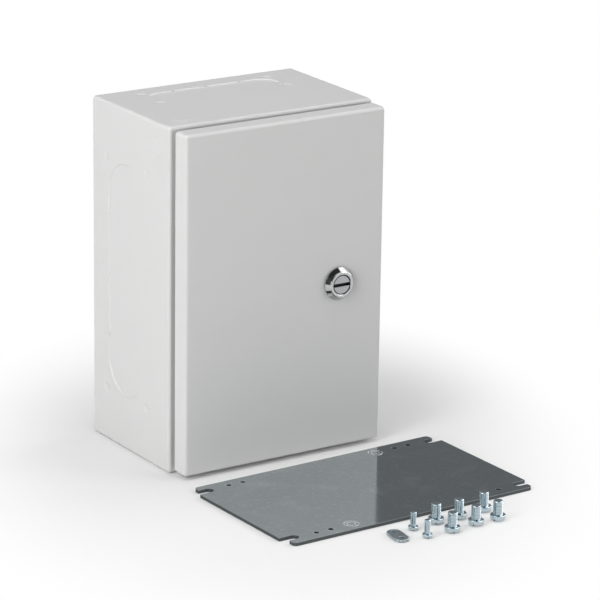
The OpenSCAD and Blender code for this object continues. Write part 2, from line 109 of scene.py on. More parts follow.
class Value:
    """A socket of a material. Arithmetic on it adds Math nodes."""

    def __init__(self, finish, socket):
        self.finish = finish
        self.socket = socket

    def maths(self, operation, *others):
        return self.finish.node("Math", {"operation": operation}, dict(enumerate(others)))

    def __add__(self, other):
        return self.maths("ADD", self, other)

    def __radd__(self, other):
        return self.maths("ADD", other, self)

    def __sub__(self, other):
        return self.maths("SUBTRACT", self, other)

    def __rsub__(self, other):
        return self.maths("SUBTRACT", other, self)

    def __mul__(self, other):
        return self.maths("MULTIPLY", self, other)

    def __rmul__(self, other):
        return self.maths("MULTIPLY", other, self)

    def size(self):
        return self.maths("ABSOLUTE", self)

    def clamped(self):
        return self.finish.node("Clamp", {}, {"Value": self})

    def between(self, low, high):
        """0 below low, 1 above high, and smooth from one to the other."""
        settings = {"interpolation_type": "SMOOTHSTEP"}
        sockets = {"Value": self, "From Min": low, "From Max": high}
        return self.finish.node("MapRange", settings, sockets)


class Finish:
    """One material, or the world, and its nodes."""

    def __init__(self, name, holder=None):
        self.material = holder or bpy.data.materials.new(name)
        self.material.use_nodes = True
        self.tree = self.material.node_tree
        self.tree.nodes.clear()

    def node(self, kind, settings=None, sockets=None, output=0):
        """Adds a node, sets it up, and feeds its sockets with values or links."""
        made = self.tree.nodes.new("ShaderNode" + kind)
        for name, setting in (settings or {}).items():
            if name == "stops":
                self.set_stops(made.color_ramp, setting)
            else:
                setattr(made, name, setting)
        for name, value in (sockets or {}).items():
            if isinstance(value, Value):
                self.tree.links.new(value.socket, made.inputs[name])
            else:
                made.inputs[name].default_value = value
        return Value(self, made.outputs[output]) if len(made.outputs) else None

    @staticmethod
    def set_stops(ramp, stops):
        """Gives a colour ramp its (position, grey or colour) stops."""
        while len(ramp.elements) < len(stops):
            ramp.elements.new(0.5)
        for element, (position, tone) in zip(ramp.elements, stops):
            colour = (tone, tone, tone) if isinstance(tone, float) else tuple(tone)
            element.position = position
            element.color = (*colour, 1.0)

    def place(self, scale=(1, 1, 1), turn=(0, 0, 0), move=(0, 0, 0)):
        """Object coordinates, in metres, centred, turned and stretched by a Mapping node."""
        coordinates = self.node("TexCoord", output=3)
        sockets = {"Vector": coordinates, "Location": move, "Rotation": turn, "Scale": scale}
        return self.node("Mapping", {}, sockets)

    def noise(self, where, size, detail=2.0, roughness=0.5):
        """Noise from 0 to 1 with features of that size in metres."""
        sockets = {"Vector": where, "Scale": 1 / size, "Detail": detail, "Roughness": roughness}
        return self.node("TexNoise", {}, sockets)

    def cells(self, where, size):
        """The distance from the middle of Voronoi cells of that size in metres."""
        return self.node("TexVoronoi", {"feature": "F1"}, {"Vector": where, "Scale": 1 / size})

    def mix(self, factor, first, second):
        """A colour between two colours."""
        colours = [c if isinstance(c, Value) else (*c, 1.0) for c in (first, second)]
        return self.node("Mix", {"data_type": "RGBA"}, {0: factor, 6: colours[0], 7: colours[1]}, 2)

    def bump(self, height, depth, under=None):
        """A normal from a height of 0 to 1 that stands for that depth in metres."""
        sockets = {"Height": height, "Distance": depth, "Strength": 1.0}
        if under is not None:
            sockets["Normal"] = under
        return self.node("Bump", {}, sockets)

    def in_view(self):
        """1 where the camera looks, straight or in a reflection, 0 for light off matt things."""
        rays = [self.node("LightPath", output=n) for n in (0, 3, 6)]
        bounced = self.node("LightPath", output=10).clamped()
        return (rays[0] + rays[1] + rays[2]).clamped() * (1 - bounced)

    def surface(self, sockets):
        """Ends the material in a Principled BSDF and returns the material."""
        shader = self.node("BsdfPrincipled", {}, sockets)
        return self.end(shader)

    def end(self, shader):
        self.node("OutputMaterial", {}, {"Surface": shader})
        return self.material


# Finishes ----------------------------------------------------------------------------------------


def times(colour, much):
    """A colour made that many times as bright, up to white."""
    return [min(1.0, much * c) for c in colour]


def powder_coat(paint):
    """Light grey structured powder coat: a fine orange peel over long, low ripples."""
    finish = Finish("powder_finish")
    where = finish.place()
    grain = finish.noise(where, paint.grain_size, 1.0)
    ripple = finish.noise(where, paint.ripple_size, 1.0)
    dust = finish.noise(where, 14 * MM, 3.0)
    fine = finish.bump(grain, paint.grain_depth)
    normal = finish.bump(ripple, paint.ripple_depth, fine)
    shade = finish.mix(dust, times(paint.colour, 0.985), times(paint.colour, 1.012))
    roughness = paint.roughness + 0.04 * (grain - 0.5)
    return finish.surface({
        "Base Color": shade, "Roughness": roughness, "Normal": normal, "IOR": 1.5,
        "Specular IOR Level": paint.gloss,
    })


def zinc(metal):
    """Bright blue-passivated zinc plate with faint clouds, rubbed spots and painted shade in screw
    slots.
    """
    finish = Finish("zinc_finish")
    where = finish.place()
    cloud = finish.noise(where, 2.5 * MM, 3.0)
    spots = finish.noise(where, 0.5 * MM, 2.0)
    shade = finish.mix(cloud, times(metal.zinc, 0.80), metal.zinc)
    # Faces marked inside a screw's slot are painted almost black: painted shade in the slot.
    slot = finish.node("Attribute", {"attribute_name": "shaded"}, {}, 2)
    shade = finish.mix(slot, shade, times(metal.zinc, 0.12))
    return finish.surface({
        "Base Color": shade, "Metallic": 1.0, "Roughness": 0.09 + 0.10 * cloud,
        "Normal": finish.bump(spots, 0.004 * MM),
    })


def barrel_zinc(metal):
    """Zinc tumbled dull in a barrel, dark and flecked, for the small nut plate."""
    finish = Finish("barrel_finish")
    where = finish.place()
    flecks = finish.noise(where, 0.8 * MM, 3.0, 0.6)
    bright = flecks.between(0.46, 0.66)
    shade = finish.mix(bright, times(metal.zinc, 0.42), times(metal.zinc, 1.2))
    return finish.surface({
        "Base Color": shade, "Metallic": 1.0, "Roughness": 0.38 - 0.12 * bright,
        "Normal": finish.bump(flecks, 0.10 * MM),
    })


def galvanised(metal):
    """Galvanised sheet: rolling streaks, smudges, scratches, rings rubbed round marks and painted
    highlight round holes, and dull sheared edges darkened further by painted shade.
    """
    finish = Finish("galvanised_finish")
    low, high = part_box("mounting_plate")
    centre = Vector(((low.x + high.x) / 2, (low.y + high.y) / 2, 0))
    turn = (0, 0, -metal.plate_turn)
    home = Matrix.Rotation(-metal.plate_turn, 3, "Z") @ -centre
    where = finish.place(turn=turn, move=home)
    drawn_out = (0.05, 1, 1)
    streaks = finish.noise(finish.place(drawn_out, turn), 1.1 * MM, 3.0)
    smudge = finish.noise(where, 30 * MM, 3.0).between(0.50, 0.78)
    slanting = finish.place(drawn_out, (0, 0, 0.45))
    scratches = finish.noise(slanting, 0.5 * MM, 1.0).between(0.74, 0.78)
    tone = 0.5 * finish.noise(where, 22 * MM, 2.0) + 0.5 * streaks
    shade = finish.mix(tone, times(metal.galvanised, 0.92), times(metal.galvanised, 1.08))
    grains = finish.noise(where, 3.5 * MM, 3.0).between(0.52, 0.75)
    pale = 0.16 * smudge + 0.35 * scratches + 0.20 * grains
    shade = finish.mix(pale, shade, (0.86, 0.88, 0.89))
    # Bright broken rings: rubbed wear round the marks, painted highlight round the holes.
    rubbed_and_highlit = sum(much * bright_ring(finish, where, (x, y, high.z), radius)
               for x, y, radius, much in RUBBED_AND_HIGHLIGHT_RINGS).clamped()
    shade = finish.mix(0.8 * rubbed_and_highlit, shade, (0.95, 0.95, 0.95))
    # Every face below the top, the cut edges and the walls of the holes and slots, is painted dark
    # and rough: partly dull raw cut steel, partly painted shade.
    height = finish.node("SeparateXYZ", {}, {0: where}, 2)
    sheared_edge_and_shade = 1 - height.between(high.z - 0.30 * MM, high.z - 0.12 * MM)
    shade = finish.mix(sheared_edge_and_shade, shade, times(metal.galvanised, 0.24))
    roughness = metal.plate_roughness + 0.05 * (streaks - 0.5) + 0.03 * smudge
    roughness = (roughness + 0.25 * rubbed_and_highlit + 0.35 * sheared_edge_and_shade).clamped()
    return finish.surface({
        "Base Color": shade, "Metallic": 1.0, "Roughness": roughness,
        "Normal": finish.bump(streaks, 0.0005 * MM),
    })


def bright_ring(finish, where, centre, radius):
    """A thin broken bright ring on the plate about a place on it."""
    away = finish.node("VectorMath", {"operation": "DISTANCE"}, {0: where, 1: centre}, 1)
    line = 1 - (away - radius).size().between(0.35 * MM, 0.85 * MM)
    return line * finish.noise(where, 3.0 * MM, 2.0).between(0.36, 0.48)


def chrome(metal):
    """Polished chrome with a trace of handling marks."""
    finish = Finish("chrome_finish")
    marks = finish.noise(finish.place(), 1.8 * MM, 3.0)
    return finish.surface({
        "Base Color": (*metal.chrome, 1.0), "Metallic": 1.0, "Roughness": 0.04 + 0.06 * marks,
    })


def die_cast(metal):
    """Satin die-cast metal of the lock's turning insert, with turning marks round its axis and
    painted shade in its slot and groove.
    """
    finish = Finish("insert_finish")
    centre = middle("lock_insert")
    where = finish.place(move=-centre)
    rings = finish.node("TexWave", {"wave_type": "RINGS", "rings_direction": "Y"}, {
        "Vector": where, "Scale": 900.0, "Distortion": 1.5, "Detail": 2.0})
    blotches = finish.noise(where, 1.5 * MM, 3.0)
    shade = finish.mix(blotches, times(metal.insert, 0.85), metal.insert)
    # Faces more than about a millimetre behind the front face, in the slot and the groove, are
    # painted almost black: painted shade.
    depth = finish.node("SeparateXYZ", {}, {0: finish.place()}, 1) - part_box("lock_insert")[0].y
    shade = finish.mix(depth.between(0.35 * MM, 1.0 * MM), shade, times(metal.insert, 0.10))
    return finish.surface({
        "Base Color": shade, "Metallic": 1.0, "Roughness": 0.27 + 0.12 * blotches,
        "Normal": finish.bump(rings, 0.003 * MM),
    })


def foam_rubber(metal):
    """Closed-cell sealing foam, matt and open-pored."""
    finish = Finish("foam_finish")
    where = finish.place()
    pores = finish.cells(where, 0.9 * MM)
    lumps = finish.noise(where, 4 * MM, 3.0)
    shade = finish.mix(lumps, times(metal.foam, 0.75), times(metal.foam, 1.3))
    skin = finish.bump(pores, 0.20 * MM)
    normal = finish.bump(lumps, 0.3 * MM, skin)
    return finish.surface({"Base Color": shade, "Roughness": 0.92, "Normal": normal})


# Shapes ------------------------------------------------------------------------------------------


def middle(node):
    """The middle of a CAD node's box."""
    low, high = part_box(node)
    return (low + high) / 2


def solids(node):
    """The low and high corner of each separate solid in a CAD node, from left to right."""
    bm = bmesh.new()
    bm.from_mesh(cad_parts[node].data)
    bmesh.ops.remove_doubles(bm, verts=bm.verts, dist=WELD)
    boxes = []
    for start in bm.verts:
        if start.tag:
            continue
        start.tag = True
        island = [start]
        for vert in island:
            for edge in vert.link_edges:
                other = edge.other_vert(vert)
                if not other.tag:
                    other.tag = True
                    island.append(other)
        places = [v.co.copy() for v in island]
        low = Vector([min(p[i] for p in places) for i in range(3)])
        high = Vector([max(p[i] for p in places) for i in range(3)])
        boxes.append((low, high))
    bm.free()
    return sorted(boxes, key=lambda box: (round(box[0].x, 5), round(box[0].y, 5)))


def lathe(profile, steps=72):
    """Spins a profile of (radius, height) points about Z."""
    bm = bmesh.new()
    verts = [bm.verts.new((radius, 0, height)) for radius, height in profile]
    edges = [bm.edges.new(pair) for pair in zip(verts, verts[1:])]
    bmesh.ops.spin(bm, geom=verts + edges, cent=(0, 0, 0), axis=(0, 0, 1), angle=math.tau,
                   steps=steps, use_merge=True)
    return tidy(bm)


def tidy(bm):
    """Merges doubles and turns the faces outwards."""
    bmesh.ops.remove_doubles(bm, verts=bm.verts, dist=WELD)
    bmesh.ops.dissolve_degenerate(bm, dist=WELD, edges=bm.edges)
    bmesh.ops.recalc_face_normals(bm, faces=bm.faces)
    return bm


def sharp_edges(bm, angle=SHARP):
    return [e for e in bm.edges if e.is_manifold and e.calc_face_angle(0) > angle]


def soften(bm, width, segments=2, angle=SHARP):
    """Rounds every sharp edge."""
    bmesh.ops.bevel(bm, geom=sharp_edges(bm, angle), offset=width, segments=segments, profile=0.5,
                    affect="EDGES", material=-1, clamp_overlap=True)
    return bm


def join(bm, other):
    """Adds the faces of another bmesh."""
    mesh = bpy.data.meshes.new("join")
    other.to_mesh(mesh)
    other.free()
    bm.from_mesh(mesh)
    bpy.data.meshes.remove(mesh)
    return bm


def cut_away(bm, tool):
    """The solid that is left where a Boolean modifier takes one closed shape from another."""
    made = []
    for shape in (bm, tool):
        mesh = bpy.data.meshes.new("solid")
        shape.to_mesh(mesh)
        shape.free()
        holder = bpy.data.objects.new("solid", mesh)
        bpy.context.scene.collection.objects.link(holder)
        made.append(holder)
    modifier = made[0].modifiers.new("cut", "BOOLEAN")
    modifier.solver = "EXACT"
    modifier.operation = "DIFFERENCE"
    modifier.object = made[1]
    depsgraph = bpy.context.evaluated_depsgraph_get()
    result = bmesh.new()
    result.from_mesh(made[0].evaluated_get(depsgraph).to_mesh())
    for holder in made:
        mesh = holder.data
        bpy.data.objects.remove(holder)
        bpy.data.meshes.remove(mesh)
    return tidy(result)


def block(low, high):
    """A box between two corners."""
    bm = bmesh.new()
    bmesh.ops.create_cube(bm, size=1)
    low, high = Vector(low), Vector(high)
    bmesh.ops.scale(bm, vec=high - low, verts=bm.verts)
    bmesh.ops.translate(bm, vec=(low + high) / 2, verts=bm.verts)
    return bm


def thread(diameter, pitch, length, chamfer=0.0, steps=28):
    """A threaded rod on z = 0: one turn's profile swept up a helix, cut off flat at both ends."""
    crest = diameter / 2
    root = crest - 0.30 * pitch
    turns = math.ceil(length / pitch) + 2
    shape = [(root, 0), (crest, 0.20), (crest, 0.76), (root, 0.96), (root, 1)]
    bm = bmesh.new()
    verts = [bm.verts.new((r, 0, (h - 1) * pitch)) for r, h in shape]
    edges = [bm.edges.new(pair) for pair in zip(verts, verts[1:])]
    bmesh.ops.spin(bm, geom=verts + edges, cent=(0, 0, 0), axis=(0, 0, 1),
                   dvec=(0, 0, pitch / steps), angle=math.tau * turns, steps=steps * turns,
                   use_merge=False)
    bmesh.ops.remove_doubles(bm, verts=bm.verts, dist=0.01 * pitch)
    for vert in bm.verts:
        allowed = crest - max(0.0, vert.co.z - (length - chamfer))
        radius = vert.co.xy.length
        if radius > allowed:
            vert.co.xy *= allowed / radius
    for height, side in ((0, -1), (length, 1)):
        everything = bm.verts[:] + bm.edges[:] + bm.faces[:]
        cut = bmesh.ops.bisect_plane(bm, geom=everything, dist=1e-7, plane_co=(0, 0, height),
                                     plane_no=(0, 0, side), clear_outer=True)
        rim = [g for g in cut["geom_cut"] if isinstance(g, bmesh.types.BMEdge)]
        bmesh.ops.holes_fill(bm, edges=rim, sides=0)
    return tidy(bm)


def standing(bm, axis_end, at):
    """Moves a shape drawn along Z so that its Z points to axis_end, with its origin at a place."""
    turn = Vector((0, 0, 1)).rotation_difference(Vector(axis_end)).to_matrix().to_4x4()
    bmesh.ops.transform(bm, matrix=Matrix.Translation(at) @ turn, verts=bm.verts)
    return bm


def cad_copy(node):
    """A merged copy of a CAD node's mesh, with its flat faces whole."""
    bm = bmesh.new()
    bm.from_mesh(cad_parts[node].data)
    bmesh.ops.remove_doubles(bm, verts=bm.verts, dist=WELD)
    bmesh.ops.dissolve_limit(bm, angle_limit=math.radians(0.5), verts=bm.verts, edges=bm.edges)
    return bm


def piece(name, bm, material, body, nodes=(), angle=SHARP):
    """Makes the finished object, shades it, ties it to its body and hides the CAD nodes it
    replaces.
    """
    for face in bm.faces:
        face.smooth = True
    for edge in bm.edges:
        edge.smooth = not edge.is_manifold or edge.calc_face_angle(0) < angle
    mesh = bpy.data.meshes.new(name)
    bm.to_mesh(mesh)
    bm.free()
    mesh.materials.append(material)
    made = bpy.data.objects.new(name, mesh)
    bpy.context.scene.collection.objects.link(made)
    keep_flats(made)
    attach(made, body)
    if nodes:
        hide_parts(*nodes)
    return made


def keep_flats(item):
    """Lets the large faces set the normals, so that flats shade flat beside their rounded edges."""
    weighted = item.modifiers.new("flats", "WEIGHTED_NORMAL")
    weighted.mode = "FACE_AREA"
    weighted.weight = 50
    weighted.keep_sharp = True


def finish_of(name, make, settings):
    """The material of that name, made on first use."""
    return bpy.data.materials.get(name) or make(settings)


def dress(node, material):
    """Gives a CAD node its finish, with its curves shaded smooth and its corners kept."""
    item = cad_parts[node]
    for holder in item.material_slots:
        holder.material = material
    item.data.shade_smooth()
    weld = item.modifiers.new("weld", "WELD")
    weld.merge_threshold = WELD
    split = item.modifiers.new("corners", "EDGE_SPLIT")
    split.split_angle = SHARP
    split.use_edge_sharp = False
    keep_flats(item)


# Settings ----------------------------------------------------------------------------------------


class EnclosurePaint(PropertyGroup):
    """The powder coat of the body and the door."""

    colour: FloatVectorProperty(
        name="Colour", description="Colour of the powder coat", subtype="COLOR", size=3,
        min=0, max=1, default=(0.632, 0.635, 0.629))
    roughness: FloatProperty(
        name="Roughness", description="Roughness of the coat", subtype="FACTOR", min=0, max=1,
        default=0.36)
    gloss: FloatProperty(
        name="Gloss", description="Strength of the coat's reflection", subtype="FACTOR", min=0,
        max=1,
        default=0.5)
    grain_size: FloatProperty(
        name="Grain size", description="Width of one grain of the orange peel", unit="LENGTH",
        min=0.2 * MM, max=5 * MM, default=1.5 * MM)
    grain_depth: FloatProperty(
        name="Grain depth", description="Depth of the orange peel", unit="LENGTH", min=0,
        max=0.2 * MM,
        default=0.02 * MM)
    ripple_size: FloatProperty(
        name="Ripple size", description="Width of the low ripples", unit="LENGTH", min=2 * MM,
        max=30 * MM,
        default=7 * MM)
    ripple_depth: FloatProperty(
        name="Ripple depth", description="Depth of the low ripples", unit="LENGTH", min=0,
        max=0.5 * MM,
        default=0.06 * MM)


class EnclosureMetal(PropertyGroup):
    """The bare metals and the foam."""

    zinc: FloatVectorProperty(
        name="Zinc", description="Colour of the zinc plate", subtype="COLOR", size=3, min=0, max=1,
        default=(0.58, 0.675, 0.72))
    galvanised: FloatVectorProperty(
        name="Galvanised sheet", description="Colour of the mounting plate", subtype="COLOR",
        size=3,
        min=0, max=1, default=(0.405, 0.45, 0.46))
    plate_roughness: FloatProperty(
        name="Plate roughness", description="Roughness of the mounting plate", subtype="FACTOR",
        min=0,
        max=1, default=0.10)
    plate_turn: FloatProperty(
        name="Plate turn", description="How far the loose plate is turned on the floor",
        subtype="ANGLE", default=math.radians(1.5))
    chrome: FloatVectorProperty(
        name="Chrome", description="Colour of the lock's bezel", subtype="COLOR", size=3, min=0,
        max=1,
        default=(0.50, 0.505, 0.51))
    insert: FloatVectorProperty(
        name="Insert", description="Colour of the lock's insert", subtype="COLOR", size=3, min=0,
        max=1,
        default=(0.42, 0.43, 0.44))
    foam: FloatVectorProperty(
        name="Foam", description="Colour of the gaskets", subtype="COLOR", size=3, min=0, max=1,
        default=(0.05, 0.05, 0.055))


class EnclosureLock(PropertyGroup):
    """The quarter-turn lock."""

    barrel_d: FloatProperty(
        name="Barrel diameter", description="Thread diameter of the lock's barrel", unit="LENGTH",
        min=18 * MM, max=24 * MM, default=22 * MM)
    bevel_w: FloatProperty(
        name="Bevel width", description="Width of the bezel's sloping ring, seen from the front",
        unit="LENGTH", min=1 * MM, max=5 * MM, default=2.9 * MM)
    rim_h: FloatProperty(
        name="Rim height", description="Height of the bezel's straight rim", unit="LENGTH",
        min=0.2 * MM,
        max=3 * MM, default=1.2 * MM)
    slot_w: FloatProperty(
        name="Slot width", description="Width of the insert's slot", unit="LENGTH", min=1 * MM,
        max=4 * MM, default=2.9 * MM)
    slot_deep: FloatProperty(
        name="Slot depth", description="Depth of the insert's slot", unit="LENGTH", min=1 * MM,
        max=6 * MM, default=4 * MM)


class EnclosureFixings(PropertyGroup):
    """Screws, studs and nuts."""

    plate_screw_d: FloatProperty(
        name="Plate screw", description="Thread diameter of the plate screws", unit="LENGTH",
        min=4 * MM, max=10 * MM, default=8 * MM)
    plate_screw_pitch: FloatProperty(
        name="Plate screw pitch", description="Thread pitch of the plate screws", unit="LENGTH",
        min=0.5 * MM, max=2 * MM, default=1.25 * MM)
    small_screw_d: FloatProperty(
        name="Small screw", description="Thread diameter of the small screws", unit="LENGTH",
        min=3 * MM, max=6 * MM, default=5 * MM)
    small_screw_pitch: FloatProperty(
        name="Small screw pitch", description="Thread pitch of the small screws", unit="LENGTH",
        min=0.4 * MM, max=1.2 * MM, default=0.8 * MM)
    stud_d: FloatProperty(
        name="Stud", description="Thread diameter of the earth studs", unit="LENGTH", min=4 * MM,
        max=8 * MM, default=6 * MM)
    stud_pitch: FloatProperty(
        name="Stud pitch", description="Thread pitch of the earth studs", unit="LENGTH",
        min=0.5 * MM, max=1.5 * MM, default=1.0 * MM)
    steps: IntProperty(
        name="Steps", description="Sides of a thread's circle", min=12, max=64, default=28)


class EnclosureStage(PropertyGroup):
    """The camera, the lamps and the floor."""

    azimuth: FloatProperty(
        name="Azimuth", description="Camera's angle round the object, 0 looks along +Y",
        subtype="ANGLE",
        default=math.radians(-33.16))
    elevation: FloatProperty(
        name="Elevation", description="Camera's angle above the floor", subtype="ANGLE",
        default=math.radians(17.42))
    roll: FloatProperty(
        name="Roll", description="Camera's turn about its own line of sight", subtype="ANGLE",
        default=math.radians(0.82))
    place: FloatVectorProperty(
        name="Place", description="Where the camera stands", subtype="TRANSLATION", size=3,
        default=(-1.4941, -2.3840, 1.0066))
    lens: FloatProperty(name="Lens", description="Focal length in millimetres", min=20, max=400,
                        default=206.58)
    left_lamp: FloatProperty(name="Left lamp", description="Power of the soft box on the left",
                             subtype="POWER", min=0, default=12)
    left_front_lamp: FloatProperty(
        name="Left front lamp", description="Power of the soft box at the front left",
        subtype="POWER",
        min=0, default=18.2)
    low_left_lamp: FloatProperty(
        name="Low left lamp", description="Power of the low soft box at the front left",
        subtype="POWER", min=0, default=12)
    top_lamp: FloatProperty(name="Top lamp", description="Power of the soft box overhead",
                            subtype="POWER", min=0, default=26.5)
    front_lamp: FloatProperty(
        name="Front lamp", description="Power of the soft box at the front right",
        subtype="POWER", min=0, default=17.5)
    right_lamp: FloatProperty(name="Right lamp", description="Power of the soft box on the right",
                              subtype="POWER", min=0, default=15.5)
    sky: FloatProperty(name="Sky", description="Even light from all round", min=0, default=0.04)
    fade_start: FloatProperty(
        name="Fade start",
        description="Distance from the middle at which the floor starts to turn white",
        unit="LENGTH", min=0, default=0.15)
    fade_end: FloatProperty(
        name="Fade end", description="Distance from the middle at which the floor is white",
        unit="LENGTH", min=0, default=0.30)
    floor_tone: FloatProperty(name="Floor tone", description="Grey of the floor", subtype="FACTOR",
                              min=0, max=1, default=0.85)


# Operators ---------------------------------------------------------------------------------------


class ENCLOSURE_OT_panels(Operator):
    """Paint the body, the rear panel and the door"""

    bl_idname = "enclosure.panels"
    bl_label = "Painted Panels"

    def execute(self, context):
        coat = powder_coat(context.scene.enclosure_paint)
        for node in PAINTED:
            dress(node, coat)
        return {"FINISHED"}


class ENCLOSURE_OT_lock(Operator):
    """Make the lock: chromed bezel with a threaded barrel, slotted insert, nut, seal and cam"""

    bl_idname = "enclosure.lock"
    bl_label = "Lock"

    def execute(self, context):
        lock = context.scene.enclosure_lock
        metal = context.scene.enclosure_metal
        self.bezel(lock, metal)
        self.insert(lock, metal)
        self.hardware(metal)
        return {"FINISHED"}

    @staticmethod
    def bezel(lock, metal):
        """The housing as one lathe shape, with its rim, bevel and face softly rounded."""
        low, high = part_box("lock_housing")
        centre = (low + high) / 2
        front = low.y
        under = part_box("lock_seal")[0].y
        outer = (high.x - low.x) / 2
        insert_low, insert_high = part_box("lock_insert")
        bore = (insert_high.x - insert_low.x) / 2 + 0.05 * MM
        barrel = lock.barrel_d / 2
        tall = under - front
        back = front - high.y
        rim = lock.rim_h - tall
        ring = outer - lock.bevel_w
        corner = 0.5 * MM
        edge = 0.25 * MM
        seam = (bore, -6 * MM)
        shape = [
            seam, (bore, -corner), (bore + corner, 0), (ring - 0.7 * MM, 0), (ring, -corner),
            (outer - edge, rim + edge), (outer, rim), (outer, -tall), (barrel, -tall),
            (barrel, back), (bore, back), seam]
        bm = soften(lathe(shape, 128), 0.22 * MM, 3, math.radians(14))
        standing(bm, (0, -1, 0), (centre.x, front, centre.z))
        material = finish_of("chrome_finish", chrome, metal)
        piece("lock_bezel", bm, material, "door", ["lock_housing"], TURNED_SHARP)
        nut_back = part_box("lock_nut")[1].y
        through = 40 * MM
        rod = thread(lock.barrel_d, 1.5 * MM, high.y - nut_back - 0.5 * MM)
        rod = cut_away(rod, lathe([(0, -MM), (bore, -MM), (bore, through), (0, through)], 64))
        bmesh.ops.scale(rod, vec=(1.004, 1.004, 1), verts=rod.verts)
        standing(rod, (0, 1, 0), (centre.x, nut_back + 0.2 * MM, centre.z))
        plated = finish_of("zinc_finish", zinc, metal)
        piece("lock_barrel_thread", rod, plated, "door", [], THREAD_SHARP)

    @staticmethod
    def insert(lock, metal):
        """The turning insert with its slot and a small chamfer."""
        low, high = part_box("lock_insert")
        centre = (low + high) / 2
        radius = (high.x - low.x) / 2
        shaft = 5 * MM
        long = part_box("lock_housing")[1].y - low.y
        wall = 6 * MM
        end = high.y - low.y
        square = 4 * MM
        face = radius - 0.55 * MM
        bm = lathe([
            (0, 0), (face, 0), (face, -1.8 * MM), (radius, -2.2 * MM), (radius, wall - long),
            (shaft, wall - long), (shaft, -long), (0, -long)], 96)
        bm = soften(bm, 0.25 * MM, 3)
        reach = radius + MM
        half = lock.slot_w / 2
        cutter = block((-reach, -half, -lock.slot_deep), (reach, half, MM))
        bm = soften(cut_away(bm, cutter), 0.12 * MM, 2, math.radians(50))
        stub = block((-square, -square, -end), (square, square, -long + 0.5 * MM))
        join(bm, soften(stub, 0.3 * MM))
        standing(bm, (0, -1, 0), (centre.x, low.y, centre.z))
        material = finish_of("insert_finish", die_cast, metal)
        piece("lock_core_insert", bm, material, "lock_core", ["lock_insert"])

    @staticmethod
    def hardware(metal):
        """Nut, seal, cam, washer and screw."""
        plated = finish_of("zinc_finish", zinc, metal)
        foam = finish_of("foam_finish", foam_rubber, metal)
        parts = (
            ("cam", "lock_core", "lock_cam", 0.4),
            ("lock_ring_nut", "door", "lock_nut", 0.3),
            ("cam_flat_washer", "lock_core", "cam_washer", 0.2),
            ("cam_fixing", "lock_core", "cam_screw", 0.3),
        )
        for name, body, node, edge in parts:
            piece(name, soften(cad_copy(node), edge * MM), plated, body, [node])
        dress("lock_seal", foam)


class ENCLOSURE_OT_hinges(Operator):
    """Finish the hinge arms, brackets and pins"""

    bl_idname = "enclosure.hinges"
    bl_label = "Hinges"

    def execute(self, context):
        plated = finish_of("zinc_finish", zinc, context.scene.enclosure_metal)
        for end in ("upper", "lower"):
            for kind, body in (("arm", "enclosure"), ("bracket", "door"), ("pin", "door")):
                node = f"hinge_{kind}_{end}"
                bm = soften(cad_copy(node), 0.25 * MM)
                piece(f"{end}_hinge_{kind}", bm, plated, body, [node])
        return {"FINISHED"}


class ENCLOSURE_OT_gasket(Operator):
    """Foam the gasket into its ring, crowned and softly uneven"""

    bl_idname = "enclosure.gasket"
    bl_label = "Door Gasket"

    def execute(self, context):
        metal = context.scene.enclosure_metal
        bm = cad_copy("door_gasket")
        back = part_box("door_gasket")[1].y
        crown = [e for e in sharp_edges(bm) if all(abs(v.co.y - back) < WELD for v in e.verts)]
        bmesh.ops.bevel(bm, geom=crown, offset=3.2 * MM, segments=5, profile=0.5,
                        affect="EDGES", material=-1)
        foam = finish_of("foam_finish", foam_rubber, metal)
        gasket = piece("foam_gasket", bm, foam, "door", ["door_gasket"])
        return {"FINISHED"}


class ENCLOSURE_OT_earth(Operator):
    """Make the earth studs with their threads, washers and nuts, and finish the plate bosses"""

    bl_idname = "enclosure.earth"
    bl_label = "Studs and Bosses"

    def execute(self, context):
        fixings = context.scene.enclosure_fixings
        plated = finish_of("zinc_finish", zinc, context.scene.enclosure_metal)
        for body, tie, away in (("body", "enclosure", -1), ("door", "door", 1)):
            low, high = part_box(f"{body}_earth_stud")
            long = high.y - low.y
            rod = thread(fixings.stud_d, fixings.stud_pitch, long, 0.8 * MM, fixings.steps)
            root = high.y if away < 0 else low.y
            standing(rod, (0, away, 0), ((low.x + high.x) / 2, root, (low.z + high.z) / 2))
            piece(f"{body}_earth_thread", rod, plated, tie, [f"{body}_earth_stud"])
            for kind in ("washer", "nut"):
                node = f"{body}_earth_{kind}"
                bm = soften(cad_copy(node), 0.3 * MM)
                piece(f"{body}_earth_flat_{kind}", bm, plated, tie, [node])
        bosses = soften(cad_copy("plate_bosses"), 0.4 * MM)
        piece("threaded_bosses", bosses, plated, "enclosure", ["plate_bosses"])
        return {"FINISHED"}


class ENCLOSURE_OT_plate(Operator):
    """Finish the loose mounting plate"""

    bl_idname = "enclosure.plate"
    bl_label = "Mounting Plate"

    def execute(self, context):
        metal = context.scene.enclosure_metal
        bm = soften(cad_copy("mounting_plate"), 0.3 * MM, 3)
        material = finish_of("galvanised_finish", galvanised, metal)
        piece("galvanised_plate", bm, material, "loose_plate",
              ["mounting_plate"])
        return {"FINISHED"}


